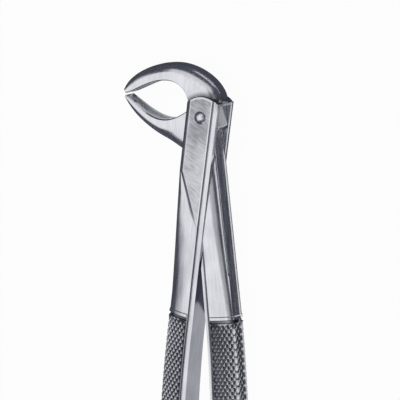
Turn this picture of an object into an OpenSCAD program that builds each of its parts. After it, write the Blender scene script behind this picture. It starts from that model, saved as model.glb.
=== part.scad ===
// Hawk-bill extraction forceps: two forged steel halves that cross in a box
// joint and turn on one rivet. It lies on its back. +X runs across the handles,
// +Y towards the beaks and +Z along the rivet. The origin is on the rivet's
// axis, at the back face of the joint box.

/* [Joint] */
// Thickness of the joint box, back face to front face
box_t = 12; // [11:0.1:13]
// Width of the joint box across the rivet
box_w = 12; // [11.6:0.1:12.6]
// Radius of the arched top of the cheeks
arch_r = 8.5; // [8.2:0.1:8.9]
// Sideways shift of the arch's centre from the rivet, towards the tongue handle
arch_shift = 0.4; // [0:0.1:0.8]
// Drop of the arch's centre below the rivet
arch_drop = 1.1; // [0.8:0.1:1.3]
// Height of the box's square corner, beside the arch on the tongue's side
corner_h = 5; // [4.6:0.1:5.6]
// Wall left between that corner and the slot under it
corner_wall = 0.9; // [0.7:0.1:1.4]
// Width of the bevel along the outer edges of the cheeks
cheek_bevel_w = 1.4; // [0.9:0.1:1.7]
// Depth of the bevel along the outer edges of the cheeks
cheek_bevel_t = 0.65; // [0.4:0.05:0.8]
// Bevel round the arch
arch_bevel = 0.45; // [0.2:0.05:0.7]
// Width of the tongue half across the rivet
tongue_w = 8.4; // [8:0.1:9.2]
// Width of the slot between the cheeks
slot_t = 7.4; // [6.8:0.1:7.8]
// Gap between the tongue and each cheek
tongue_gap = 0.15; // [0.1:0.01:0.25]
// Width of the tongue where it turns on the rivet
boss_w = 10.2; // [9.6:0.1:10.6]
// Radius of the tongue's arched ends, about the rivet
tongue_r = 6.2; // [5.9:0.1:6.4]
// Room left in the plane of motion where one half passes the other
play = 0.3; // [0.2:0.05:0.5]
// How far the beaks close from the modelled pose, in degrees
close_angle = 0.8; // [0.4:0.1:1]
// How far the beaks open from the modelled pose, in degrees
open_angle = 20; // [12:1:21]

/* [Rivet] */
// Diameter of the rivet's shank
rivet_d = 3.6; // [3:0.1:4]
// Running gap between the shank and the tongue, on the radius
rivet_run = 0.05; // [0.02:0.01:0.1]
// Gap between the shank and the cheeks, on the radius
rivet_seat = 0.01; // [0.005:0.005:0.02]
// Diameter of the domed head
head_d = 4.5; // [4.4:0.1:6]
// Height of the domed head
head_h = 0.9; // [0.6:0.1:1.4]
// Diameter of the peened end at the back face
peen_d = 4.6; // [4.4:0.1:6]
// Depth of the peened end's countersink
peen_h = 0.8; // [0.4:0.1:1.5]

/* [Handles] */
// Angle of each handle from the centre line, in degrees
splay = 6.6; // [6:0.1:8]
// Distance from the rivet to the end of each handle
handle_len = 148; // [130:1:165]
// Distance from the rivet to the start of the knurled grip
grip_start = 71.5; // [62:0.5:75]
// Inward bend of each grip at its end, in degrees
grip_bend = 8; // [4:0.5:10]
// Width of the handle where the grip starts
neck_w = 11.3; // [10.4:0.1:11.6]
// Thickness of the handle where the grip starts
neck_t = 10.4; // [9.4:0.1:11]
// Width of the grip at its fullest
grip_w = 11.6; // [10.8:0.1:12]
// How much thinner than the joint box the grip is at its fullest
grip_under = 0.2; // [0.1:0.05:1]
// Width of the grip just before its rounded end
end_w = 9.4; // [8.4:0.1:10.2]
// Thickness of the grip just before its rounded end
end_t = 9.4; // [8.4:0.1:10.4]
// Length of the rounded end
end_round = 4.5; // [3:0.1:6]
// Width of the cove along each inner edge
cove_w = 2; // [1.4:0.1:2.4]
// Depth of the cove along each inner edge
cove_t = 0.6; // [0.4:0.1:1]
// Height of the handle's outer side between its front and back edges
side_t = 6.2; // [5.4:0.1:6.8]
// How far the middle of the outer side stands out over those edges
side_out = 1; // [0.6:0.1:1.3]
// Width of the raised band before the grip
band_w = 1.2; // [0.8:0.1:1.6]
// Height of the raised band over the handle
band_h = 0.25; // [0.15:0.05:0.35]
// Width of the groove between the band and the grip
groove_w = 1.1; // [0.8:0.1:1.6]
// Depth of that groove under the handle
groove_t = 0.35; // [0.2:0.05:0.45]
// Height of the grip over the handle
grip_rise = 0.3; // [0.2:0.05:0.4]
// Width of the bevel round the ground flat
pad_w = 0.9; // [0.6:0.05:1]
// Depth of the bevel round the ground flat
pad_t = 0.4; // [0.2:0.05:0.45]
// Distance from the rivet to where the ground flat starts to narrow
flat_start = 19.5; // [17:0.5:22]
// Distance from the rivet to the point of the ground flat
flat_end = 38.5; // [34:0.5:44]
// Distance from the rivet to where the box half's handle has its full rounding
round_full = 63; // [58:0.5:67]

/* [Beaks] */
// Distance of the beak tips from the rivet, across
beak_reach = 33; // [31:0.1:35]
// Height of the upper beak's crown over the rivet
crown_h = 17.8; // [16.8:0.1:18.8]
// Height of the beaks' meeting line over the rivet
bite_h = 5.5; // [5:0.1:6]
// Depth of the upper beak at its crown, inner side to outer side
crown_t = 6.3; // [5.8:0.1:6.8]
// Depth of the tooth gap below the rivet's height
gap_low = 2; // [1.6:0.1:2.4]
// Gap between the two tips in the modelled pose
tip_gap = 0.6; // [0.5:0.05:0.8]
// Slope of each tip's end, across and up
tip_end = 1.2; // [0.8:0.1:1.8]
// Length over which the lower beak thins down to the tongue
root_run = 8; // [6:0.5:10]
// Width of the beaks at their tips
tip_w = 6; // [5:0.1:7]
// Width of the beaks at the throat
throat_w = 8.2; // [7.4:0.1:9]
// Width of the upper beak where it runs into the box
root_w = 10; // [9:0.1:10.6]
// Width of the hollow in each biting face
hollow_w = 3.8; // [3:0.1:4.4]
// Depth of the hollow in each biting face
hollow_t = 0.5; // [0.3:0.05:0.8]
// Number of ridges along each half of a hollow
ridge_n = 2; // [2:1:4]
// Height of the ridges along each hollow
ridge_h = 0.2; // [0.1:0.05:0.3]

/* [Hidden] */
$fn = 72;
mid_z = box_t / 2;
tongue_t = slot_t - 2 * tongue_gap;
slot_r = tongue_r + play;
grip_t = box_t - grip_under - 2 * grip_rise;
// How far a cutting shape stands out of what it cuts
over = 1;
steel = "#c4c8d2";
rivet_steel = "#d6d9e0";

// Smooth step from a to b while t goes from 0 to 1
function ease(a, b, t) = let (k = min(max(t, 0), 1)) a + (b - a) * k * k * (3 - 2 * k);
function mix(a, b, t) = a + (b - a) * min(max(t, 0), 1);

// Point at t on a cubic curve, and at s along a row of such curves
function cubic(p, t) = let (q = 1 - t) q * q * q * p[0] + 3 * q * q * t * p[1]
    + 3 * q * t * t * p[2] + t * t * t * p[3];
function along(row, s) = let (i = min(floor(s), len(row) - 1)) cubic(row[i], s - i);

// Closed skin over a row of rings that all have the same number of points. Each end is
// a fan of triangles round the middle of its ring
function middle(ring) = [for (p = ring) 1] * ring / len(ring);
module skin(rings) {
    n = len(rings[0]);
    last = len(rings) - 1;
    start_mid = (last + 1) * n;
    end_mid = start_mid + 1;
    polyhedron(
        points = concat([for (ring = rings) each ring], [middle(rings[0]), middle(rings[last])]),
        faces = concat(
            [for (i = [0 : n - 1]) [(i + 1) % n, i, start_mid]],
            [for (k = [0 : last - 1]) for (i = [0 : n - 1])
                let (a = k * n + i, b = k * n + (i + 1) % n)
                each [[a, b, b + n], [a, b + n, a + n]]],
            [for (i = [0 : n - 1]) [last * n + i, last * n + (i + 1) % n, end_mid]]));
}

// Whole section from its front half, which runs from the inner to the outer side
function mirrored(half) = concat(half,
    [for (i = [len(half) - 1 : -1 : 0]) if (half[i].y > 0) [half[i].x, -half[i].y]]);

// Width, thickness and sideways bow of a handle at distance u from the rivet,
// where top_w is its half's width across the rivet
grip_mid = (grip_start + handle_len) / 2;
function handle_w(u, top_w) = u < grip_start ? top_w + (neck_w - top_w) * u / grip_start
    : u < grip_mid ? ease(neck_w, grip_w, (u - grip_start) / (grip_mid - grip_start))
    : ease(grip_w, end_w, (u - grip_mid) / (handle_len - grip_mid));
function handle_t(u) = u < grip_start ? mix(box_t, neck_t, (u - flat_end) / (grip_start - flat_end))
    : u < grip_mid ? ease(neck_t, grip_t, (u - grip_start) / (grip_mid - grip_start))
    : ease(grip_t, end_t, (u - grip_mid) / (handle_len - grip_mid));
bow_r = (handle_len - grip_start) / (grip_bend * PI / 180);
function handle_bow(u) = u < grip_start ? 0 : -pow(u - grip_start, 2) / (2 * bow_r);

// Shrink of the section in the rounded end, which keeps a small flat
end_flat = 0.2;
function end_scale(u) = u < handle_len - end_round ? 1
    : max(end_flat, sqrt(max(0, 1 - pow((u - handle_len + end_round) / end_round, 2))));

// Rise of the outer surface over the plain handle at u: band, groove, then grip
groove_start = grip_start - groove_w;
band_start = groove_start - band_w;
function rise(u) = u < band_start ? 0 : u < groove_start ? band_h : u < grip_start ? -groove_t : grip_rise;

// Section of a handle at u: flat inner face, hollow cove along its edge, then a rounded
// front that falls to an edge, and from there an outer side that rises to a blunt ridge in
// the middle. The box half has a bevelled ground flat before it, which narrows to a point
pad_fade = 0.25;
pad_least = 0.1;
cove_n = 4;
cove_power = 3;
strip_edge = 0.2;
round_start = 20;
round_end = 76;
round_n = 7;
function handle_half(u, top_w, ground) =
    let (w = handle_w(u, top_w) / 2, t = handle_t(u) / 2,
        f = ground ? min(max((u - flat_start) / (flat_end - flat_start), 0), 1) : 1,
        g = ground ? (u - flat_start) / (round_full - flat_start) : 1,
        side = mix(t - cheek_bevel_t, side_t / 2, g),
        flat = mix(w - cheek_bevel_w, cove_w - w + strip_edge, f),
        pad = min(1, (1 - f) / pad_fade),
        from_x = flat + pad_w * max(pad, pad_least), from_z = t - pad_t * pad,
        out = w + rise(u) - mix(0, side_out, g) - from_x, drop = from_z + rise(u) - side,
        s0 = sin(round_start), s1 = sin(round_end), c0 = cos(round_start), c1 = cos(round_end))
    concat([[-w, 0]],
        [for (i = [0 : cove_n]) let (k = i / cove_n) [cove_w * k - w, t - cove_t * (1 - pow(k, cove_power))]],
        [[flat, t + rise(u)]],
        [for (i = [0 : round_n]) let (a = round_start + (round_end - round_start) * i / round_n)
            [from_x + out * (sin(a) - s0) / (s1 - s0), side + drop * (cos(a) - c1) / (c0 - c1)]],
        [[w + rise(u), 0]]);
function handle_ring(u, top_w, ground) = let (k = end_scale(u))
    [for (p = mirrored(handle_half(u, top_w, ground))) [handle_bow(u) + k * p.x, -u, mid_z + k * p.y]];

// Distances from the rivet at which a handle has a section, two at each step of its rise
top_u = -arch_r - 1;
end_steps = 5;
step_run = 0.25;
handle_us = concat(
    [top_u, 0, 10],
    [for (i = [0 : 6]) flat_start + (flat_end - flat_start) * i / 6],
    [for (i = [1 : 4]) flat_end + (band_start - flat_end) * i / 5],
    [for (u = [band_start, groove_start, grip_start]) each [u - step_run / 2, u + step_run / 2]],
    [for (i = [1 : 14]) grip_start + (handle_len - end_round - grip_start) * i / 14],
    [for (i = [1 : end_steps]) handle_len - end_round * (1 - sin(90 * i / end_steps))]);

// Handle that leans to the right, full thickness from end to end
module handle_blank(top_w, ground) {
    rotate(splay) skin([for (u = handle_us) handle_ring(u, top_w, ground)]);
}

// Side curves of the upper beak, from tip to root: biting side, then outer side. Each
// is two cubic curves that meet at the crown, and ends inside the box
upper_tip = bite_h + tip_gap / 2;
upper_crest = crown_h - crown_t;
root_low = bite_h - 0.9;
upper_in = [
    [[tip_end - beak_reach, upper_tip], [-26.5, upper_tip + 1.4],
        [-21.5, upper_crest], [-14.3, upper_crest]],
    [[-14.3, upper_crest], [-10.2, upper_crest], [-6, upper_crest - 2.9], [-box_w / 2 + 0.4, root_low]]];
upper_out = [
    [[-beak_reach, upper_tip + tip_end + 0.8], [1.3 - beak_reach, upper_tip + 6.4],
        [-21, crown_h], [-11.5, crown_h]],
    [[-11.5, crown_h], [-3.5, crown_h], [box_w / 2 + 1, crown_h - 6], [box_w / 2 + 0.6, root_low]]];

// Side curves of the lower beak, from tip to the tongue
lower_tip = bite_h - tip_gap / 2;
tongue_in = 0.61 * tongue_r;
lower_in = [
    [[tip_end - beak_reach, lower_tip], [-27, lower_tip - 2.6], [-22, -gap_low], [-16, -gap_low]],
    [[-16, -gap_low], [-11.5, -gap_low], [-8, 0.6], [-tongue_in, tongue_in]]];
lower_out = [
    [[0.4 - beak_reach, lower_tip - tip_end], [1.6 - beak_reach, lower_tip - 4.8],
        [-24.8, -5.2], [-16, -8.7]],
    [[-16, -8.7], [-12.5, -10.1], [-8, -12.9], [-1.5, -16.2]]];

// Front half of a beak's section: hollow with ridges, rim, flat side, bevel that
// bends over to a nearly flat back. b is its depth, h half its width, k how much
// of the hollow there is
rim_bevel = 0.4;
side_share = 0.42;
side_n = 4;
bevel_start = 10;
bevel_end = 72;
bevel_n = 4;
back_share = 0.42;
back_crown = 0.25;
function beak_half(b, h, k) =
    let (hw = k * hollow_w / 2, edge = side_share * b, back = b - back_crown,
        s0 = sin(bevel_start), s1 = sin(bevel_end), c0 = cos(bevel_start), c1 = cos(bevel_end))
    concat(
        [for (i = [0 : 2 * ridge_n]) let (z = hw * i / (2 * ridge_n), r = i % 2)
            [k * (hollow_t * (1 - pow(i / (2 * ridge_n), 2)) + ridge_h * r), z]],
        [[0, h - rim_bevel]],
        [for (i = [0 : side_n - 1]) [rim_bevel + (edge - rim_bevel) * i / side_n, h]],
        [for (i = [0 : bevel_n]) let (a = bevel_start + (bevel_end - bevel_start) * i / bevel_n)
            [edge + (back - edge) * (sin(a) - s0) / (s1 - s0),
            h * (back_share + (1 - back_share) * (cos(a) - c1) / (c0 - c1))]],
        [[b, 0]]);

// Share of the hollow at s along the beak: none at the tip's rim, none past its round
// inner end
hollow_start = 0.06;
hollow_end = 1.05;
start_round = 0.1;
inner_round = 0.25;
no_hollow = 0.02;
function hollow(s) = s < hollow_start || s > hollow_end ? no_hollow
    : max(no_hollow, min(1, sqrt((s - hollow_start) / start_round), sqrt((hollow_end - s) / inner_round)));

function beak_ring(inner, outer, s, h) =
    let (a = along(inner, s), c = along(outer, s), b = norm(c - a), d = (c - a) / b)
    [for (p = mirrored(beak_half(b, h, hollow(s)))) [a.x + d.x * p.x, a.y + d.y * p.x, p.y]];

beak_steps = 36;
function beak_w(s, end_width) = s < 1 ? ease(tip_w, throat_w, s) : ease(throat_w, end_width, s - 1);

module upper_beak() {
    translate([0, 0, mid_z]) skin([for (i = [0 : beak_steps]) let (s = 2 * i / beak_steps)
        beak_ring(upper_in, upper_out, s, beak_w(s, root_w) / 2)]);
}

// Share of the lower beak's thickness h that is left at p, so that the edge of the
// cheeks passes over its root when the beaks are wide open
edge_turn = 180 - splay - open_angle;
edge_out = [cos(edge_turn), sin(edge_turn)];
function root_share(p, h) =
    let (run = [p.x, p.y] * edge_out - box_w / 2 - play)
    ease(tongue_t / 2 / h, 1, run / root_run);

module lower_beak() {
    translate([0, 0, mid_z]) skin([for (i = [beak_steps : -1 : 0])
        let (s = 2 * i / beak_steps, h = beak_w(s, throat_w) / 2)
        [for (p = beak_ring(lower_in, lower_out, s, h)) [p.x, p.y, p.z * root_share(p, h)]]]);
}

// Plan of a straight handle from distance from_u down, wider by gap all round
plan_len = 62;
module handle_plan(top_w, from_u, gap) {
    a = handle_w(from_u, top_w) / 2 + gap;
    b = handle_w(plan_len, top_w) / 2 + gap;
    rotate(splay) polygon([[-a, -from_u], [a, -from_u], [b, -plan_len], [-b, -plan_len]]);
}

// Plan of the box half's cheeks, with play: the left handle under its arch and corner
module cheek_plan() {
    intersection() {
        mirror([1, 0]) handle_plan(box_w, top_u, play);
        union() {
            translate([arch_shift, -arch_drop]) circle(r = arch_r + play);
            translate([arch_shift, -over]) square([box_w, corner_h + over + play]);
            translate([-plan_len, -2 * plan_len]) square([2 * plan_len, 2 * plan_len]);
        }
    }
}

// Plan of the tongue and of the lower beak's root, with play
root_n = 8;
module tongue_plan() {
    handle_plan(tongue_w, 0, play);
    circle(r = slot_r);
    polygon(concat(
        [for (i = [0 : root_n]) along(lower_in, 1 + i / root_n) + [0, play]],
        [for (i = [root_n : -1 : 0]) along(lower_out, 1 + i / root_n) - [0, play]]));
}

// Slot through the box half: the tongue's plan at every angle it takes
module slot() {
    translate([0, 0, mid_z - slot_t / 2]) linear_extrude(slot_t) {
        for (a = [-close_angle, 0, open_angle / 2, open_angle]) rotate(a) tongue_plan();
        translate([0, -slot_r]) square([box_w, slot_r + corner_h - corner_wall]);
    }
}

// What the cheeks need free on either side of the tongue, at every angle
module cheek_room() {
    for (side = [0, 1]) mirror([0, 0, side])
        translate([0, 0, tongue_t / 2]) linear_extrude(box_t)
            for (a = [close_angle, 0, -open_angle / 2, -open_angle]) rotate(a) cheek_plan();
}

// Arched, bevelled top of the cheeks, square corner, and everything below the rivet.
// It stands out of the handle's faces by over, so that only its sides cut
module cheek_bounds() {
    translate([arch_shift, -over, -over]) cube([box_w, corner_h + over, box_t + 2 * over]);
    translate([arch_shift, -arch_drop, 0]) rotate_extrude()
        polygon([[0, -over], [arch_r - arch_bevel - over, -over], [arch_r, arch_bevel],
            [arch_r, box_t - arch_bevel], [arch_r - arch_bevel - over, box_t + over], [0, box_t + over]]);
    below_rivet();
}

module below_rivet() {
    translate([-handle_len / 2, -2 * handle_len, -over])
        cube([handle_len, 2 * handle_len, box_t + 2 * over]);
}

module rivet_hole(gap) {
    translate([0, 0, -over]) cylinder(h = box_t + 2 * over, d = rivet_d + 2 * gap);
}

// Female half: upper beak, box with its two cheeks, left handle
module box_half() {
    color(steel) difference() {
        union() {
            intersection() {
                mirror([1, 0, 0]) handle_blank(box_w, true);
                cheek_bounds();
            }
            upper_beak();
        }
        slot();
        rivet_hole(rivet_seat);
        rotate_extrude() polygon([[0, -over], [peen_d / 2 + rivet_seat, -over], [peen_d / 2 + rivet_seat, 0],
            [rivet_d / 2 + rivet_seat, peen_h], [0, peen_h]]);
    }
}

// Male half: lower beak, tongue, right handle
module tongue_half() {
    color(steel) difference() {
        union() {
            intersection() {
                handle_blank(tongue_w, false);
                below_rivet();
            }
            translate([0, 0, mid_z - tongue_t / 2]) linear_extrude(tongue_t) intersection() {
                circle(r = tongue_r);
                handle_plan(boss_w, top_u, 0);
            }
            lower_beak();
        }
        translate([0, 0, mid_z]) cheek_room();
        rivet_hole(rivet_run);
    }
}

// Rivet: peened end, shank and domed head in one piece
dome_r = (pow(head_d / 2, 2) + pow(head_h, 2)) / (2 * head_h);
dome_n = 8;
dome_a = asin(head_d / 2 / dome_r);
module joint_pin() {
    color(rivet_steel) rotate_extrude() polygon(concat(
        [[0, 0], [peen_d / 2, 0], [rivet_d / 2, peen_h], [rivet_d / 2, box_t]],
        [for (i = [0 : dome_n]) let (a = dome_a * (1 - i / dome_n))
            [dome_r * sin(a), box_t + head_h - dome_r + dome_r * cos(a)]]));
}

box_half();
tongue_half();
joint_pin();
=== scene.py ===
# Hawk-bill extraction forceps of forged stainless steel: two halves that cross in a box
# joint and turn on one rivet. The sections follow the halves as they are forged, cut and
# put together. Sizes are in millimetres, in the frame of the CAD model.
import math

import bmesh
import bpy
from mathutils import Matrix, Quaternion, Vector


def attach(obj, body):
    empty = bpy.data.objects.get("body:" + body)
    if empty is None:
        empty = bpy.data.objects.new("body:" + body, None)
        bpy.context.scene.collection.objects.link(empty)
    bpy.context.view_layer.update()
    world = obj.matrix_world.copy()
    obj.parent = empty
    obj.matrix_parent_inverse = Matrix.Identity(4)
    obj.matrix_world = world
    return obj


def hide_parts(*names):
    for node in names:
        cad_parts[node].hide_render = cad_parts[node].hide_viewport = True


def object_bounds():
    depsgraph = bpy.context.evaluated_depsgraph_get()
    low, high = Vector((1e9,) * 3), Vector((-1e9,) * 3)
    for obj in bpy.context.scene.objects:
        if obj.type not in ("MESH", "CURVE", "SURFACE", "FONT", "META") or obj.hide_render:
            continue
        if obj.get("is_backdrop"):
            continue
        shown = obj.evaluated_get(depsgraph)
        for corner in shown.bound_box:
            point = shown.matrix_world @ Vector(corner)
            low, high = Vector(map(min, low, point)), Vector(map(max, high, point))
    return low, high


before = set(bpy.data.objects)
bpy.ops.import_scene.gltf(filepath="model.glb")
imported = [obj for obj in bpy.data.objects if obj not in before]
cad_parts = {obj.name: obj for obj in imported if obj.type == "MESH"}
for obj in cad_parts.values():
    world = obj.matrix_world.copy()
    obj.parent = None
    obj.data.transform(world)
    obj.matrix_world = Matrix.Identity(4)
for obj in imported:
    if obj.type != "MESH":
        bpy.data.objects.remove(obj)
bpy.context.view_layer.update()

# Handle blanks: forged bars of stainless steel, one for each half. The inner face is flat
# with a hollow cove along both its edges, the outer side is rounded. A raised band and a
# groove stand before the grip, which is knurled all round its outer side.
MM = 0.001
BOX_T = 12
MID_Z = BOX_T / 2
CHEEK_BEVEL_W, CHEEK_BEVEL_T = 1.4, 0.65
SPLAY = math.radians(6.6)
HANDLE_LEN = 148
GRIP_START = 71.5
GRIP_MID = (GRIP_START + HANDLE_LEN) / 2
GRIP_BEND = math.radians(8)
NECK_W, NECK_T = 11.3, 10.4
GRIP_W, GRIP_T = 11.6, 11.2
END_W, END_T, END_ROUND, END_FLAT = 9.4, 9.4, 4.5, 0.2
COVE_W, COVE_T, COVE_POWER, COVE_N = 2, 0.6, 3, 8
SIDE_T, SIDE_OUT, SIDE_N = 6.2, 1, 3
STRIP_EDGE = 0.2
BAND_W, BAND_H = 1.2, 0.25
GROOVE_W, GROOVE_T = 1.1, 0.35
GRIP_RISE = 0.3
GROOVE_START = GRIP_START - GROOVE_W
BAND_START = GROOVE_START - BAND_W
STEP_RUN = 0.25
# The ground face narrows to a point between these distances from the rivet, and the
# rounding of the outer side grows beside it
FLAT_START, FLAT_END, ROUND_FULL = 19.5, 38.5, 63
PAD_W, PAD_T, PAD_FADE, PAD_LEAST = 0.9, 0.4, 0.25, 0.1
ROUND_FROM, ROUND_TO, ROUND_N = math.radians(20), math.radians(76), 11
# The cheek's bevel runs on down the outer edge until this share of the rounding is there
BEVEL_FADE = 0.5
# The polished rim that borders the ground face, at most this share of its width
RIM_W, RIM_T, RIM_SHARE = 0.45, 0.035, 0.4
KNURL_T, KNURL_STEP, KNURL_FINE = 0.34, 1.3, 4
KNURL_TOP_GAP, KNURL_END_GAP, JUST_PAST = 0.6, 3, 0.01
KNURL_START = GRIP_START + KNURL_TOP_GAP
KNURL_END = HANDLE_LEN - END_ROUND - KNURL_END_GAP
BOX_ROWS, FLAT_ROWS, NECK_ROWS, HEEL_ROWS, END_ROWS = 4, 38, 18, 3, 14


def mix(a, b, t):
    """From a to b in a straight line, and level outside it."""
    return a + (b - a) * min(max(t, 0), 1)


def ease(a, b, t):
    """From a to b with a soft start and end, and level outside it."""
    k = min(max(t, 0), 1)
    return a + (b - a) * k * k * (3 - 2 * k)


def handle_size(u, at_rivet, neck, grip, end, taper_from):
    """Width or thickness at u: a straight taper to the neck, then eased over the grip."""
    if u < GRIP_START:
        return mix(at_rivet, neck, (u - taper_from) / (GRIP_START - taper_from))
    if u < GRIP_MID:
        return ease(neck, grip, (u - GRIP_START) / (GRIP_MID - GRIP_START))
    return ease(grip, end, (u - GRIP_MID) / (HANDLE_LEN - GRIP_MID))


def rise(u):
    """How far the outer side stands out at u: the band, the groove or the grip."""
    if u < BAND_START:
        return 0
    if u < GROOVE_START:
        return BAND_H
    return -GROOVE_T if u < GRIP_START else GRIP_RISE


def evenly(points, count):
    """count points at even steps along a line of points."""
    lengths = [0]
    for a, b in zip(points, points[1:]):
        lengths.append(lengths[-1] + math.dist(a, b))
    found, k = [], 0
    for i in range(count):
        want = lengths[-1] * i / (count - 1)
        while k < len(points) - 2 and lengths[k + 1] < want:
            k += 1
        t = (want - lengths[k]) / (lengths[k + 1] - lengths[k])
        found.append(tuple(mix(a, b, t) for a, b in zip(points[k], points[k + 1])))
    return found


def handle_half(u, rivet_w, ground):
    """Front half of the section at u, from the cove to the middle of the outer side."""
    if u < 0:
        half_w = rivet_w / 2 + (rivet_w - NECK_W) / GRIP_START * -u / 2
    else:
        half_w = handle_size(u, rivet_w, NECK_W, GRIP_W, END_W, 0) / 2
    half_t = handle_size(u, BOX_T, NECK_T, GRIP_T, END_T, FLAT_END) / 2
    narrowed = (u - FLAT_START) / (FLAT_END - FLAT_START) if ground else 1
    rounded = (u - FLAT_START) / (ROUND_FULL - FLAT_START) if ground else 1
    side = mix(half_t - CHEEK_BEVEL_T, SIDE_T / 2, rounded)
    crease = half_w + rise(u) - mix(0, SIDE_OUT, rounded)
    flat = mix(half_w - CHEEK_BEVEL_W, COVE_W - half_w + STRIP_EDGE, narrowed)
    pad = min(1, (1 - min(narrowed, 1)) / PAD_FADE)
    from_x, from_z = flat + PAD_W * max(pad, PAD_LEAST), half_t - PAD_T * pad
    edge_z = min(side + CHEEK_BEVEL_T, from_z)
    edge_x = max(from_x, crease - CHEEK_BEVEL_W * (edge_z - side) / CHEEK_BEVEL_T)
    cove = []
    for i in range(COVE_N + 1):
        k = i / COVE_N
        cove.append((COVE_W * k - half_w, half_t - COVE_T * (1 - k ** COVE_POWER)))
    knurled = KNURL_START < u < KNURL_END
    count = KNURL_FINE * ROUND_N if knurled else ROUND_N
    across = math.sin(ROUND_TO) - math.sin(ROUND_FROM)
    down = math.cos(ROUND_FROM) - math.cos(ROUND_TO)
    outer = []
    for i in range(count + 1):
        a = ROUND_FROM + (ROUND_TO - ROUND_FROM) * i / count
        x = from_x + (crease - from_x) * (math.sin(a) - math.sin(ROUND_FROM)) / across
        z = side + (from_z + rise(u) - side) * (math.cos(a) - math.cos(ROUND_TO)) / down
        if ground:
            bevel = mix(edge_z, side, (x - edge_x) / (crease - edge_x))
            if x < edge_x:
                bevel = mix(from_z, edge_z, (x - from_x) / (edge_x - from_x))
            z = mix(bevel, z, rounded / BEVEL_FADE)
        outer.append((x, z))
    for i in range(1, SIDE_N + 1):
        outer.append((mix(crease, half_w + rise(u), i / SIDE_N), side * (1 - i / SIDE_N)))
    if knurled:
        outer = evenly(outer, ROUND_N + 1 + SIDE_N)
    if not ground:
        return cove + [(flat, half_t + rise(u))] + outer
    rim = min(RIM_W, RIM_SHARE * (flat + half_w - COVE_W))
    cove[-1] = (COVE_W - half_w, half_t - RIM_T * pad)
    face = [(COVE_W - half_w + rim, half_t), (flat - rim, half_t)]
    return cove + face + [(flat, half_t + rise(u) - RIM_T * pad)] + outer


def handle_ring(u, rivet_w, ground):
    """The whole section at u, bowed outwards along the grip and drawn in round the end."""
    half = handle_half(u, rivet_w, ground)
    bow_r = (HANDLE_LEN - GRIP_START) / GRIP_BEND
    bow = -(max(u - GRIP_START, 0) ** 2) / (2 * bow_r)
    k = 1
    if u > HANDLE_LEN - END_ROUND:
        past = (u - HANDLE_LEN + END_ROUND) / END_ROUND
        k = max(END_FLAT, math.sqrt(max(0, 1 - past ** 2)))
    whole = half + [(x, -z) for x, z in reversed(half[:-1])]
    return [Vector((bow + k * x, -u, MID_Z + k * z)) for x, z in whole]


def loft(rings):
    """A bmesh skin: the first ring is filled, and its rim is extruded on from ring to ring."""
    bm = bmesh.new()
    row = [bm.verts.new(p) for p in rings[0]]
    bm.faces.new(row)
    rows = [row]
    for ring in rings[1:]:
        rim = [bm.edges.get((a, b)) for a, b in zip(row, row[1:] + row[:1])]
        made = bmesh.ops.extrude_edge_only(bm, edges=rim)["geom"]
        fresh = {g for g in made if isinstance(g, bmesh.types.BMVert)}
        moved = []
        for v in row:
            moved.append(next(e.other_vert(v) for e in v.link_edges if e.other_vert(v) in fresh))
        row = moved
        for v, p in zip(row, ring):
            v.co = p
        rows.append(row)
    bm.faces.new(row)
    bmesh.ops.recalc_face_normals(bm, faces=bm.faces[:])
    return bm, rows


def steps(a, b, n):
    """n even steps from a towards b, without b itself."""
    return [a + (b - a) * i / n for i in range(n)]


def handle_blank(rivet_w, ground, start):
    """A knurled handle from start to its end, splayed about the rivet."""
    us = steps(start, FLAT_START, BOX_ROWS)
    us += steps(FLAT_START, FLAT_END, FLAT_ROWS)
    us += steps(FLAT_END, BAND_START - STEP_RUN, NECK_ROWS)
    for u in (BAND_START, GROOVE_START, GRIP_START):
        us += [u - STEP_RUN / 2, u + STEP_RUN / 2]
    knurl_first = len(us)
    knurl_rows = round((KNURL_END - KNURL_START) / KNURL_STEP)
    us += steps(KNURL_START + JUST_PAST, KNURL_END, knurl_rows)
    knurl_last = len(us)
    us += steps(KNURL_END, HANDLE_LEN - END_ROUND, HEEL_ROWS)
    for i in range(END_ROWS + 1):
        us.append(HANDLE_LEN - END_ROUND * (1 - math.sin(math.pi / 2 * i / END_ROWS)))
    bm, rows = loft([handle_ring(u, rivet_w, ground) for u in us])
    bm.normal_update()
    # Every second point of the outer side, past the cove's and the flat's points, is a pit
    flat_points = 3 if ground else 1
    first = COVE_N + 1 + flat_points
    pits = []
    for k in range(knurl_first, knurl_last):
        for j in range(first, len(rows[k]) - first):
            if (k + j) % 2:
                pits.append((rows[k][j], rows[k][j].normal * -KNURL_T))
    for v, move in pits:
        v.co += move
    bmesh.ops.connect_verts(bm, verts=[v for v, move in pits])
    turn = Matrix.Rotation(SPLAY, 3, "Z")
    bmesh.ops.rotate(bm, verts=bm.verts[:], cent=(0, 0, 0), matrix=turn)
    return bm


def new_piece(name, bm):
    """An object at the origin with the bmesh as its mesh."""
    mesh = bpy.data.meshes.new(name)
    bm.to_mesh(mesh)
    bm.free()
    piece = bpy.data.objects.new(name, mesh)
    bpy.context.scene.collection.objects.link(piece)
    return piece


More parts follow.
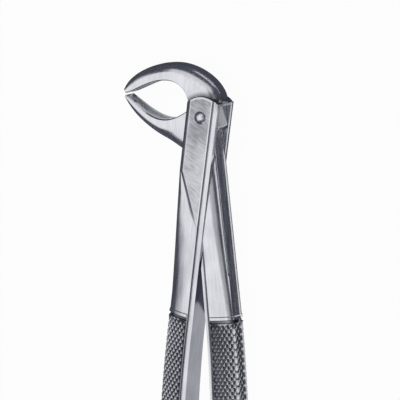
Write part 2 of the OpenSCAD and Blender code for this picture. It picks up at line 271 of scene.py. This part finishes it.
# Beaks: each half's forged end, bent sideways to a hawk's bill. The biting face is hollow
# with fine ridges along it, the sides are flat and polished, and a broad bevel turns over to
# the back.
BEAK_REACH, CROWN_H, CROWN_T, BITE_H = 33, 17.8, 6.3, 5.5
TIP_GAP, TIP_END, GAP_LOW = 0.6, 1.2, 2
BOX_W = 12
TONGUE_R = 6.2
TIP_W, THROAT_W, ROOT_W = 6, 8.2, 10
ROOT_DROP, ROOT_ON_TONGUE = 0.9, 0.61
HOLLOW_W, HOLLOW_T, RIDGE_N, RIDGE_H = 3.8, 0.5, 2, 0.2
HOLLOW_FROM, HOLLOW_TO = 0.06, 1.05
HOLLOW_GROW, HOLLOW_FADE, HOLLOW_LEAST = 0.1, 0.25, 0.02
RIM_BEVEL = 0.4
FLANK_SHARE, FLANK_STEPS = 0.42, 5
BEVEL_FROM, BEVEL_TO, BEVEL_STEPS = math.radians(10), math.radians(72), 10
BEVEL_SHARE, BACK_SHARE = 0.58, 0.42
BACK_CROWN, BACK_STEPS = 0.25, 3
BEAK_STEPS = 120
UPPER_TIP, LOWER_TIP = BITE_H + TIP_GAP / 2, BITE_H - TIP_GAP / 2
CREST, ROOT_LOW = CROWN_H - CROWN_T, BITE_H - ROOT_DROP
TONGUE_IN = ROOT_ON_TONGUE * TONGUE_R
# The inner and outer line of each beak, from the tip to the root: two cubic curves of four
# points (x, y)
UPPER_IN = (
    ((TIP_END - BEAK_REACH, UPPER_TIP), (-26.5, UPPER_TIP + 1.4), (-21.5, CREST), (-14.3, CREST)),
    ((-14.3, CREST), (-10.2, CREST), (-6, CREST - 2.9), (-BOX_W / 2 + 0.4, ROOT_LOW)))
UPPER_OUT = (
    ((-BEAK_REACH, UPPER_TIP + TIP_END + 0.8), (1.3 - BEAK_REACH, UPPER_TIP + 6.4),
     (-21, CROWN_H), (-11.5, CROWN_H)),
    ((-11.5, CROWN_H), (-3.5, CROWN_H), (BOX_W / 2 + 1, CROWN_H - 6), (BOX_W / 2 + 0.6, ROOT_LOW)))
LOWER_IN = (
    ((TIP_END - BEAK_REACH, LOWER_TIP), (-27, LOWER_TIP - 2.6), (-22, -GAP_LOW), (-16, -GAP_LOW)),
    ((-16, -GAP_LOW), (-11.5, -GAP_LOW), (-8, 0.6), (-TONGUE_IN, TONGUE_IN)))
LOWER_OUT = (
    ((0.4 - BEAK_REACH, LOWER_TIP - TIP_END), (1.6 - BEAK_REACH, LOWER_TIP - 4.8),
     (-24.8, -5.2), (-16, -8.7)),
    ((-16, -8.7), (-12.5, -10.1), (-8, -12.9), (-1.5, -16.2)))


def along(curves, s):
    """The point at s, which runs on by 1 over each cubic curve."""
    i = min(int(s), len(curves) - 1)
    t = s - i
    q = 1 - t
    weights = (q ** 3, 3 * q * q * t, 3 * q * t * t, t ** 3)
    return Vector((sum(w * p[0] for w, p in zip(weights, curves[i])),
                   sum(w * p[1] for w, p in zip(weights, curves[i]))))


def hollow_share(s):
    """How much of the hollow is there at s: it grows behind the tip and fades out."""
    if s < HOLLOW_FROM or s > HOLLOW_TO:
        return HOLLOW_LEAST
    grown = math.sqrt((s - HOLLOW_FROM) / HOLLOW_GROW)
    left = math.sqrt((HOLLOW_TO - s) / HOLLOW_FADE)
    return max(HOLLOW_LEAST, min(1, grown, left))


def beak_half(depth, half_w, hollow):
    """Front half of a beak's section: hollow with ridges, rim, flat side, bevel, back."""
    edge, back = FLANK_SHARE * depth, depth - BACK_CROWN
    n = 2 * RIDGE_N
    points = []
    for i in range(n + 1):
        sunk = HOLLOW_T * (1 - (i / n) ** 2) + RIDGE_H * (i % 2)
        points.append((hollow * sunk, hollow * HOLLOW_W / 2 * i / n))
    points.append((0, half_w - RIM_BEVEL))
    for i in range(FLANK_STEPS):
        points.append((RIM_BEVEL + (edge - RIM_BEVEL) * i / FLANK_STEPS, half_w))
    across = math.sin(BEVEL_TO) - math.sin(BEVEL_FROM)
    down = math.cos(BEVEL_FROM) - math.cos(BEVEL_TO)
    for i in range(BEVEL_STEPS + 1):
        a = BEVEL_FROM + (BEVEL_TO - BEVEL_FROM) * i / BEVEL_STEPS
        x = edge + (back - edge) * (math.sin(a) - math.sin(BEVEL_FROM)) / across
        z = half_w * (BACK_SHARE + BEVEL_SHARE * (math.cos(a) - math.cos(BEVEL_TO)) / down)
        points.append((x, z))
    for i in reversed(range(BACK_STEPS)):
        x = depth - BACK_CROWN * (i / BACK_STEPS) ** 2
        points.append((x, BACK_SHARE * half_w * i / BACK_STEPS))
    return points


def beak(inner, outer, root_w, root_share):
    """A beak between its inner and outer line. root_share(place, half width) thins its root."""
    rings = []
    for i in range(BEAK_STEPS + 1):
        s = 2 * i / BEAK_STEPS
        p, q = along(inner, s), along(outer, s)
        d = (q - p).normalized()
        half_w = (ease(TIP_W, THROAT_W, s) if s < 1 else ease(THROAT_W, root_w, s - 1)) / 2
        half = beak_half((q - p).length, half_w, hollow_share(s))
        whole = half + [(x, -z) for x, z in reversed(half[1:-1])]
        ring = []
        for x, z in whole:
            place = p + d * x
            ring.append(Vector((place.x, place.y, MID_Z + z * root_share(place, half_w))))
        rings.append(ring)
    return loft(rings)[0]


# Box half: the female half, with the upper beak, the box with its two cheeks and the left
# handle. The slot for the tongue is milled through the box, its top is turned to an arch and
# its cheeks are ground flat, with a fine polished rim.
PLAY = 0.3
ARCH_R, ARCH_SHIFT, ARCH_DROP, ARCH_ROUND = 8.5, 0.4, 1.1, 0.45
ARCH_CLEAR, ARCH_SPARE, ARCH_STEPS, ARCH_N = 0.3, 2, 6, 144
CORNER_H, CORNER_WALL = 5, 0.9
BELOW_W, BELOW_LEN = 74, 160
TONGUE_W = 8.4
SLOT_T = 7.4
CLOSE, OPEN = math.radians(0.8), math.radians(20)
PLAN_LEN, ROOT_STEPS = 62, 8
RIVET_D, RIVET_SEAT = 3.6, 0.01
PEEN_D, PEEN_H = 4.6, 0.8
CIRCLE_N = 96
OVER = 1
POLE_MERGE = 1e-5


def prism(outline, low, high, turn=0):
    """An outline, turned about the rivet, filled and extruded from height low to high."""
    bm = bmesh.new()
    face = bm.faces.new([bm.verts.new((x, y, low)) for x, y in outline])
    made = bmesh.ops.extrude_face_region(bm, geom=[face])["geom"]
    top = [g for g in made if isinstance(g, bmesh.types.BMVert)]
    bmesh.ops.translate(bm, verts=top, vec=(0, 0, high - low))
    about = Matrix.Rotation(turn, 3, "Z")
    bmesh.ops.rotate(bm, verts=bm.verts[:], cent=(0, 0, 0), matrix=about)
    bmesh.ops.recalc_face_normals(bm, faces=bm.faces[:])
    return bm


def turned(profile, x, y, segments):
    """A profile of (radius, height) spun about an upright axis at x, y."""
    bm = bmesh.new()
    row = [bm.verts.new((r, 0, z)) for r, z in profile]
    line = [bm.edges.new(pair) for pair in zip(row, row[1:])]
    bmesh.ops.spin(bm, geom=row + line, cent=(0, 0, 0), axis=(0, 0, 1), angle=math.tau,
                   steps=segments, use_merge=True)
    bmesh.ops.remove_doubles(bm, verts=bm.verts[:], dist=POLE_MERGE)
    bmesh.ops.recalc_face_normals(bm, faces=bm.faces[:])
    bmesh.ops.translate(bm, verts=bm.verts[:], vec=(x, y, 0))
    return bm


def circle_outline(r):
    turns = [math.tau * i / CIRCLE_N for i in range(CIRCLE_N)]
    return [(r * math.cos(a), r * math.sin(a)) for a in turns]


def rectangle(left, low, right, high):
    return [(left, low), (right, low), (right, high), (left, high)]


def handle_plan(rivet_w, lean):
    """Outline of a straight handle with play, from the rivet down. It leans right (1) or
    left (-1)."""
    a = rivet_w / 2 + PLAY
    b = mix(rivet_w, NECK_W, PLAN_LEN / GRIP_START) / 2 + PLAY
    turn = Matrix.Rotation(SPLAY * lean, 2)
    corners = ((-a, 0), (-b, -PLAN_LEN), (b, -PLAN_LEN), (a, 0))
    return [tuple(turn @ Vector(p)) for p in corners]


def combine(piece, tools, operation):
    """Adds or cuts the tools, one after the other, and removes them."""
    for tool in tools:
        step = piece.modifiers.new(tool.name, "BOOLEAN")
        step.operation = operation
        step.solver = "EXACT"
        step.object = tool
    graph = bpy.context.evaluated_depsgraph_get()
    whole = bpy.data.meshes.new_from_object(piece.evaluated_get(graph))
    piece.modifiers.clear()
    piece.data = whole
    for tool in tools:
        bpy.data.objects.remove(tool)


box_half = handle_blank(BOX_W, True, -ARCH_R - ARCH_SPARE)
bmesh.ops.scale(box_half, vec=(-1, 1, 1), verts=box_half.verts[:])
bmesh.ops.recalc_face_normals(box_half, faces=box_half.faces[:])
box_half = new_piece("box_half_steel", box_half)

# The turned profile stays clear of the cheek, slopes down over the rim and rounds the edge
arch = [(0, -ARCH_CLEAR), (ARCH_R - ARCH_ROUND - RIM_W - OVER, -RIM_T / RIM_W * OVER)]
for i in range(ARCH_STEPS + 1):
    a = math.pi / 2 * i / ARCH_STEPS
    arch.append((ARCH_R - ARCH_ROUND * (1 - math.sin(a)), RIM_T + ARCH_ROUND * (1 - math.cos(a))))
arch += [(r, BOX_T - z) for r, z in reversed(arch)]
bounds = new_piece("bounds", turned(arch, ARCH_SHIFT, -ARCH_DROP, ARCH_N))
corner = rectangle(ARCH_SHIFT, -OVER, ARCH_SHIFT + BOX_W, CORNER_H)
below = rectangle(-BELOW_W, -BELOW_LEN, BELOW_W, 0)
combine(bounds, [new_piece("corner", prism(corner, -OVER, BOX_T + OVER)),
                 new_piece("below", prism(below, -OVER, BOX_T + OVER))], "UNION")
combine(box_half, [bounds], "INTERSECT")
upper = new_piece("upper_beak", beak(UPPER_IN, UPPER_OUT, ROOT_W, lambda place, half_w: 1))
combine(box_half, [upper], "UNION")

# The slot leaves room for the tongue and the lower beak's root over the whole swing
slot_low, slot_high = MID_Z - SLOT_T / 2, MID_Z + SLOT_T / 2
root = [along(LOWER_IN, 1 + i / ROOT_STEPS) + Vector((0, PLAY)) for i in range(ROOT_STEPS + 1)]
for i in reversed(range(ROOT_STEPS + 1)):
    root.append(along(LOWER_OUT, 1 + i / ROOT_STEPS) - Vector((0, PLAY)))
cuts = []
for turn in (-CLOSE, 0, OPEN / 2, OPEN):
    cuts.append(new_piece("slot", prism(handle_plan(TONGUE_W, 1), slot_low, slot_high, turn)))
    cuts.append(new_piece("slot", prism([tuple(p) for p in root], slot_low, slot_high, turn)))
cuts.append(new_piece("slot", prism(circle_outline(TONGUE_R + PLAY), slot_low, slot_high)))
window = rectangle(0, -TONGUE_R - PLAY, BOX_W, CORNER_H - CORNER_WALL)
cuts.append(new_piece("slot", prism(window, slot_low, slot_high)))
seat, peen = RIVET_D / 2 + RIVET_SEAT, PEEN_D / 2 + RIVET_SEAT
cuts.append(new_piece("hole", prism(circle_outline(seat), -OVER, BOX_T + OVER)))
sink = [(0, -OVER), (peen, -OVER), (peen, 0), (seat, PEEN_H), (0, PEEN_H)]
cuts.append(new_piece("sink", turned(sink, 0, 0, CIRCLE_N)))
combine(box_half, cuts, "DIFFERENCE")

POLISHED_DARK, POLISHED_LIGHT = "#c8c9cd", "#dedfe3"
POLISHED_SMOOTH, POLISHED_ROUGH = 0.15, 0.25
GROUND_DARK, GROUND_LIGHT = "#989a9f", "#dcdde0"
GROUND_SMOOTH, GROUND_ROUGH = 0.34, 0.46
# Painted shade and soil: the near-black that the recesses are mixed towards
SHADE_AND_SOIL = "#2c2d33"
# Strokes across and along the lay, in mm, and the two heights between which painted light makes
# the ground face lighter
POLISHED_STROKE, GROUND_STROKE = (0.6, 9), (0.45, 3)
GROUND_LAY, GROUND_PAINTED_LIGHT = math.radians(59), (-8, -28)
# Clouds of about 9 mm, and the span of the noise that the tones and the polish run over
CLOUDS_PER_M = 110
NOISE_LOW, NOISE_HIGH = 0.3, 0.7
# The last gain is how far painted light lifts the ground face's tone towards the handle
TONE_LOW, TONE_HIGH, PAINTED_LIGHT_GAIN = 0.75, 1.25, 0.2


def hex_colour(text):
    """sRGB hex to linear colour."""
    found = []
    for i in (1, 3, 5):
        c = int(text[i:i + 2], 16) / 255
        found.append(c / 12.92 if c <= 0.04045 else ((c + 0.055) / 1.055) ** 2.4)
    return (*found, 1)


def add_node(tree, kind, values=(), links=(), **settings):
    """A node with its settings, the values of its sockets and the links into them."""
    node = tree.nodes.new(kind)
    for name, value in settings.items():
        setattr(node, name, value)
    for name, value in dict(values).items():
        node.inputs[name].default_value = value
    for name, output in dict(links).items():
        tree.links.new(output, node.inputs[name])
    return node


def steel(name, turn, stroke, dark, light, smooth, rough, painted_light=None):
    """Steel with a lay of strokes (across, along, in mm) that turn from the y axis by an angle.
    With the last argument given, painted light lifts the tone from its first y to its second.
    Recesses get painted shade and soil."""
    material = bpy.data.materials.new(name)
    material.use_nodes = True
    tree = material.node_tree
    shader = tree.nodes["Principled BSDF"]
    shader.inputs["Metallic"].default_value = 1
    place = add_node(tree, "ShaderNodeTexCoord").outputs["Object"]
    across, length = stroke[0] * MM, stroke[1] * MM
    laid = add_node(tree, "ShaderNodeMapping",
                    {"Rotation": (0, 0, turn), "Scale": (across, length, across)},
                    {"Vector": place}, vector_type="TEXTURE")
    lay = add_node(tree, "ShaderNodeTexNoise", {"Scale": 1, "Detail": 2},
                   {"Vector": laid.outputs["Vector"]})
    cloud = add_node(tree, "ShaderNodeTexNoise", {"Scale": CLOUDS_PER_M, "Detail": 2},
                     {"Vector": place})
    both = add_node(tree, "ShaderNodeMath", {},
                    {0: lay.outputs["Fac"], 1: cloud.outputs["Fac"]}, operation="ADD")
    # Painted light: the tone grows lighter along y, towards the handle
    if painted_light:
        height = add_node(tree, "ShaderNodeSeparateXYZ", links={"Vector": place})
        grown = add_node(tree, "ShaderNodeMapRange",
                         {"From Min": painted_light[0] * MM, "From Max": painted_light[1] * MM, "To Max": PAINTED_LIGHT_GAIN},
                         {"Value": height.outputs["Y"]})
        both = add_node(tree, "ShaderNodeMath", {},
                        {0: both.outputs[0], 1: grown.outputs["Result"]}, operation="ADD")
    share = add_node(tree, "ShaderNodeMapRange", {"From Min": TONE_LOW, "From Max": TONE_HIGH},
                     {"Value": both.outputs[0]})
    tone = add_node(tree, "ShaderNodeMix", {"A": hex_colour(dark), "B": hex_colour(light)},
                    {"Factor": share.outputs["Result"]}, data_type="RGBA")
    # Painted shade and soil from the vertex layer darkens the tone
    shade_and_soil = add_node(tree, "ShaderNodeAttribute", attribute_name="shade_and_soil")
    shaded_and_soiled = add_node(tree, "ShaderNodeMix", {"B": hex_colour(SHADE_AND_SOIL)},
                      {"Factor": shade_and_soil.outputs["Fac"], "A": tone.outputs["Result"]},
                      data_type="RGBA")
    tree.links.new(shaded_and_soiled.outputs["Result"], shader.inputs["Base Color"])
    polish = add_node(tree, "ShaderNodeMapRange",
                      {"From Min": NOISE_LOW, "From Max": NOISE_HIGH,
                       "To Min": smooth, "To Max": rough},
                      {"Value": lay.outputs["Fac"]})
    tree.links.new(polish.outputs["Result"], shader.inputs["Roughness"])
    return material


SHARP = math.radians(26)
MERGE, SLIVER = 0.002, 0.001
# A ground face is level, at the very front or back, and not far below the pad's point
LEVEL, SKIN, FLAT_SPARE = 0.9995, 0.02, 2
# Painted shade and soil in the grip's pits and groove, painted shadow at the upper beak's foot
# round the arch
PIT_SHADE_AND_SOIL, FOOT_SHADOW, FOOT_SHADOW_W = 1.5, 0.8, 1.6


def finish_piece(piece, materials, ground):
    """Merged, shaded smooth but for its edges, given painted shade and soil in its recesses and
    scaled to metres.
    """
    bm = bmesh.new()
    bm.from_mesh(piece.data)
    bmesh.ops.remove_doubles(bm, verts=bm.verts[:], dist=MERGE)
    bmesh.ops.dissolve_degenerate(bm, edges=bm.edges[:], dist=SLIVER)
    for face in bm.faces:
        face.smooth = True
        face.material_index = 0
        middle = face.calc_center_median()
        flat = abs(face.normal.z) > LEVEL and not SKIN < middle.z < BOX_T - SKIN
        if ground and flat and middle.y > -FLAT_END - FLAT_SPARE:
            face.material_index = 1
    for edge in bm.edges:
        kinds = {face.material_index for face in edge.link_faces}
        edge.smooth = len(kinds) == 1 and edge.calc_face_angle(0) < SHARP
    # Painted shade and soil in the grip's pits and groove, from how far the neighbours rise
    shade_and_soil = bm.verts.layers.float.new("shade_and_soil")
    for v in bm.verts:
        if v.co.y < -BAND_START:
            rises = [(edge.other_vert(v).co - v.co).dot(v.normal) for edge in v.link_edges]
            v[shade_and_soil] = mix(0, 1, PIT_SHADE_AND_SOIL * sum(rises) / len(rises) / KNURL_T)
        # Painted shadow at the foot of the upper beak, fading away from the arch
        past_arch = math.hypot(v.co.x - ARCH_SHIFT, v.co.y + ARCH_DROP) - ARCH_R
        if ground and v.co.y > 0 and past_arch > 0:
            v[shade_and_soil] = mix(FOOT_SHADOW, 0, past_arch / FOOT_SHADOW_W)
    bmesh.ops.scale(bm, vec=(MM, MM, MM), verts=bm.verts[:])
    piece.data.materials.clear()
    for material in materials:
        piece.data.materials.append(material)
    bm.to_mesh(piece.data)
    bm.free()
    weighted = piece.modifiers.new("normals", "WEIGHTED_NORMAL")
    weighted.keep_sharp = True


# Polished stainless steel: bright, faintly clouded, with polishing lines along the handle,
# drawn coarser than real ones
steel_left = steel("polished_stainless_steel_left", -SPLAY, POLISHED_STROKE,
                   POLISHED_DARK, POLISHED_LIGHT, POLISHED_SMOOTH, POLISHED_ROUGH)
# Ground stainless steel: duller, with slanting strokes of the wheel, drawn coarser than real
# ones, and painted lighter towards the handle as painted light
steel_ground = steel("ground_stainless_steel", GROUND_LAY, GROUND_STROKE,
                     GROUND_DARK, GROUND_LIGHT, GROUND_SMOOTH, GROUND_ROUGH, GROUND_PAINTED_LIGHT)
finish_piece(box_half, [steel_left, steel_ground], True)
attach(box_half, "box_body")
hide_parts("box_half")

# Tongue half: the male half, with the lower beak, the flat tongue that turns in the slot and
# the right handle. Both sides are milled down to the tongue where the cheeks pass.
TONGUE_T, BOSS_W = 7.1, 10.2
TONGUE_START = -3
ROOT_RUN = 8
RIVET_RUN = 0.05
edge_turn = math.pi - SPLAY - OPEN
edge_out = Vector((math.cos(edge_turn), math.sin(edge_turn)))


def tongue_share(place, half_w):
    """The beak's root is as thin as the tongue until it is clear of the open cheek."""
    run = place.dot(edge_out) - BOX_W / 2 - PLAY
    return ease(TONGUE_T / 2 / half_w, 1, run / ROOT_RUN)


tongue_half = handle_blank(TONGUE_W, False, TONGUE_START)
whole = tongue_half.verts[:] + tongue_half.edges[:] + tongue_half.faces[:]
made = bmesh.ops.bisect_plane(tongue_half, geom=whole, plane_co=(0, 0, 0), plane_no=(0, 1, 0),
                              clear_outer=True)
rim = [g for g in made["geom_cut"] if isinstance(g, bmesh.types.BMEdge)]
bmesh.ops.edgeloop_fill(tongue_half, edges=rim)
bmesh.ops.recalc_face_normals(tongue_half, faces=tongue_half.faces[:])
tongue_half = new_piece("tongue_half_steel", tongue_half)
tongue_low, tongue_high = MID_Z - TONGUE_T / 2, MID_Z + TONGUE_T / 2
arched = [(min(max(x, -BOSS_W / 2), BOSS_W / 2), y) for x, y in circle_outline(TONGUE_R)]
disc = new_piece("disc", prism(arched, tongue_low, tongue_high, SPLAY))
lower = new_piece("lower_beak", beak(LOWER_IN, LOWER_OUT, THROAT_W, tongue_share))
combine(tongue_half, [disc, lower], "UNION")
cuts = []
for turn in (CLOSE, 0, -OPEN / 2, -OPEN):
    for low, high in ((tongue_high, BOX_T + OVER), (-OVER, tongue_low)):
        cuts.append(new_piece("relief", prism(handle_plan(BOX_W, -1), low, high, turn)))
run_hole = circle_outline(RIVET_D / 2 + RIVET_RUN)
cuts.append(new_piece("hole", prism(run_hole, -OVER, BOX_T + OVER)))
combine(tongue_half, cuts, "DIFFERENCE")
# Polished stainless steel as on the box half, with its lines along the right handle
steel_right = steel("polished_stainless_steel_right", SPLAY, POLISHED_STROKE,
                    POLISHED_DARK, POLISHED_LIGHT, POLISHED_SMOOTH, POLISHED_ROUGH)
finish_piece(tongue_half, [steel_right], False)
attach(tongue_half, "tongue_body")
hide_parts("tongue_half")

# Rivet: one turned steel pin through both cheeks and the tongue, with a domed head on the
# front and its other end hammered flush into a countersink at the back.
HEAD_D, HEAD_H, DOME_STEPS = 4.5, 0.9, 16
PEEN_DISH, PEEN_ROUND, PEEN_EDGE = 0.05, 0.3, 0.02
RIVET_STROKE = (0.6, 0.6)
RIVET_DARK, RIVET_LIGHT, RIVET_SMOOTH, RIVET_ROUGH = "#d2d3d7", "#e4e5e8", 0.2, 0.3
dome_r = ((HEAD_D / 2) ** 2 + HEAD_H ** 2) / (2 * HEAD_H)
dome_a = math.asin(HEAD_D / 2 / dome_r)
profile = [(0, PEEN_DISH), (PEEN_D / 2 - PEEN_ROUND, 0), (PEEN_D / 2, PEEN_EDGE),
           (RIVET_D / 2, PEEN_H), (RIVET_D / 2, BOX_T)]
for i in range(DOME_STEPS + 1):
    a = dome_a * (1 - i / DOME_STEPS)
    profile.append((dome_r * math.sin(a), BOX_T + HEAD_H - dome_r + dome_r * math.cos(a)))
rivet = new_piece("rivet_steel_pin", turned(profile, 0, 0, CIRCLE_N))
# Turned steel: brighter than the halves, finely mottled, without lines
steel_rivet = steel("turned_rivet_steel", 0, RIVET_STROKE,
                    RIVET_DARK, RIVET_LIGHT, RIVET_SMOOTH, RIVET_ROUGH)
finish_piece(rivet, [steel_rivet], False)
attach(rivet, "box_body")
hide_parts("joint_pin")

# Studio: a plain pale floor of white paper, soft boxes overhead and a camera at the
# photograph's angle. Nothing here is part of the object.
FLOOR_HALF, FLOOR_GLOW = 4, 0.96
floor = bmesh.new()
bmesh.ops.create_grid(floor, x_segments=1, y_segments=1, size=FLOOR_HALF)
floor = new_piece("floor", floor)
# White paper: matt, takes the shadow, and shows white to the camera and in the steel
white = bpy.data.materials.new("white_paper")
white.use_nodes = True
tree = white.node_tree
paper = tree.nodes["Principled BSDF"]
paper.inputs["Base Color"].default_value = hex_colour("#f2f2f0")
paper.inputs["Roughness"].default_value = 0.9
rays = add_node(tree, "ShaderNodeLightPath")
seen = add_node(tree, "ShaderNodeMath", {},
                {0: rays.outputs["Is Camera Ray"], 1: rays.outputs["Is Glossy Ray"]},
                operation="MAXIMUM")
seen = add_node(tree, "ShaderNodeMath", {},
                {0: seen.outputs[0], 1: rays.outputs["Is Transmission Ray"]},
                operation="MAXIMUM")
share = add_node(tree, "ShaderNodeMath", {1: FLOOR_GLOW}, {0: seen.outputs[0]},
                 operation="MULTIPLY")
glow = add_node(tree, "ShaderNodeEmission", {"Strength": 1})
both = add_node(tree, "ShaderNodeMixShader", {},
                {0: share.outputs[0], 1: paper.outputs[0], 2: glow.outputs[0]})
tree.links.new(both.outputs[0], tree.nodes["Material Output"].inputs["Surface"])
floor.data.materials.append(white)
floor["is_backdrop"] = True

scene = bpy.context.scene
scene.view_settings.view_transform = "Standard"
world = bpy.data.worlds.new("studio")
scene.world = world
world.use_nodes = True
world.node_tree.nodes["Background"].inputs["Color"].default_value = hex_colour("#50525d")


def soft_box(name, direction, far, width, height, radiance, turn=0):
    """A lamp, in metres, that faces the rivet. Its width is level and its height leans to the
    zenith, before its turn about its own axis."""
    lamp = bpy.data.lights.new(name, "AREA")
    lamp.shape = "RECTANGLE"
    lamp.size, lamp.size_y = width, height
    lamp.energy = radiance * math.pi * width * height
    rig = bpy.data.objects.new(name, lamp)
    scene.collection.objects.link(rig)
    towards = Vector(direction).normalized()
    rig.location = towards * far
    rig.rotation_mode = "QUATERNION"
    rig.rotation_quaternion = towards.to_track_quat("Z", "Y") @ Quaternion((0, 0, 1), turn)


soft_box("key", (-0.355, -0.086, 0.935), 1.3, 1.2, 1.513, 1.0)
soft_box("fill_left", (-0.829, -0.086, 0.559), 1.3, 1.2, 0.227, 0.45)
soft_box("fill_right", (0.342, -0.086, 0.94), 1.4, 1.2, 0.49, 0.45)
soft_box("rim_right", (0.857, -0.07, 0.515), 1.4, 0.5, 0.344, 1.0)
soft_box("rim_top", (0.25, 0.9, 0.3), 1.4, 1.0, 0.2, 1.0)
soft_box("fill_top", (-0.132, 0.525, 0.841), 1.3, 1.3, 0.475, 0.8, math.radians(-12))
soft_box("fill_front", (0.4, -0.86, 0.32), 1.3, 1.3, 0.6, 0.7)


def card(name, colour):
    """Material of a card that glows with one even tone, which the steel shows as a painted
    reflection.
    """
    made = bpy.data.materials.new(name)
    made.use_nodes = True
    shade = add_node(made.node_tree, "ShaderNodeEmission", {"Color": colour, "Strength": 1})
    surface = made.node_tree.nodes["Material Output"].inputs["Surface"]
    made.node_tree.links.new(shade.outputs[0], surface)
    return made


# Dark and grey cards on the floor that glow and that only the steel's reflections see, as a
# photographer's
# flags: painted reflections, dark where the steel is to show shade and grey where it is to show
# half-light. They lie far to the left and above, to the right, beside the box, under the right
# handle's edge, between the handles and in the tooth gap
# Glowing cards that paint dark and grey reflections into the steel
PAINTED_DARK_REFLECTION, PAINTED_GREY_REFLECTION = card("painted_dark_reflection_card", hex_colour("#4b4e59")), card("painted_grey_reflection_card", hex_colour("#b5b6bb"))
FLAG_LOW, FLAG_HIGH = 0.2, 0.3
FLAGS = (
    (PAINTED_DARK_REFLECTION, ((-1500, -400), (-40, -400), (-13, -60), (-13, -14), (-36, 4), (-1500, 4))),
    (PAINTED_DARK_REFLECTION, ((-1500, 4), (-36, 4), (-24, 10), (-12, 13), (-5, 9), (-3, 4.9), (9, 4.9), (60, 7.6),
            (60, 1500), (-1500, 1500))),
    (PAINTED_DARK_REFLECTION, ((14.8, -2), (70, -2), (90, -170), (34, -170))),
    (PAINTED_DARK_REFLECTION, ((1, 5.3), (7.25, 5.3), (4.85, -16), (1, -16))),
    (PAINTED_GREY_REFLECTION, ((7.9, 5.3), (11, 4), (8.7, -16), (5.7, -14))),
    (PAINTED_DARK_REFLECTION, ((11, 4), (12.7, 4), (10.4, -16), (8.7, -16))),
    (PAINTED_DARK_REFLECTION, ((1.5, -14.4), (5.25, -14.4), (12.85, -69.9), (15, -88.7), (11, -88.7), (9, -69.9))),
    (PAINTED_DARK_REFLECTION, ((-3, -42), (7, -42), (5, -66), (-5, -74))),
    (PAINTED_GREY_REFLECTION, ((-5, -74), (5, -66), (8, -110), (-8, -110))),
    (PAINTED_GREY_REFLECTION, ((-34, 5.5), (-24, 0), (-16, -2.5), (-8, -1), (-4, 4), (-7, 8), (-14, 10.5),
            (-24, 8.5))))
for tone, outline in FLAGS:
    flag = prism(outline, FLAG_LOW, FLAG_HIGH)
    bmesh.ops.scale(flag, vec=(MM, MM, MM), verts=flag.verts[:])
    flag = new_piece("flag", flag)
    flag.data.materials.append(tone)
    flag.visible_camera = flag.visible_diffuse = flag.visible_shadow = False
    flag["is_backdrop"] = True

# The camera looks at a point below the rivet on the front cheek
CAMERA_RIGHT, CAMERA_UP, CAMERA_ROLL = math.radians(30), math.radians(10), math.radians(0.8)
CAMERA_FAR, FRAME_W, FRAME_DROP, SENSOR_W = 756, 136, 27.88, 36
forward = Vector((math.sin(CAMERA_RIGHT) * math.cos(CAMERA_UP), math.sin(CAMERA_UP),
                  math.cos(CAMERA_RIGHT) * math.cos(CAMERA_UP)))
right = Vector((math.cos(CAMERA_RIGHT), 0, -math.sin(CAMERA_RIGHT)))
up = forward.cross(right)
roll = Matrix.Rotation(CAMERA_ROLL, 3, forward)
right, up = roll @ right, roll @ up
target = Vector((0, 0, BOX_T)) - FRAME_DROP * up
camera = bpy.data.objects.new("camera", bpy.data.cameras.new("camera"))
scene.collection.objects.link(camera)
camera.data.sensor_width = SENSOR_W
camera.data.lens = SENSOR_W * CAMERA_FAR / FRAME_W
camera.matrix_world = Matrix.Translation((target + CAMERA_FAR * forward) * MM) @ Matrix(
    (right, up, forward)).transposed().to_4x4()
camera.data.clip_start, camera.data.clip_end = 0.01, 20
scene.camera = camera

low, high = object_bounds()
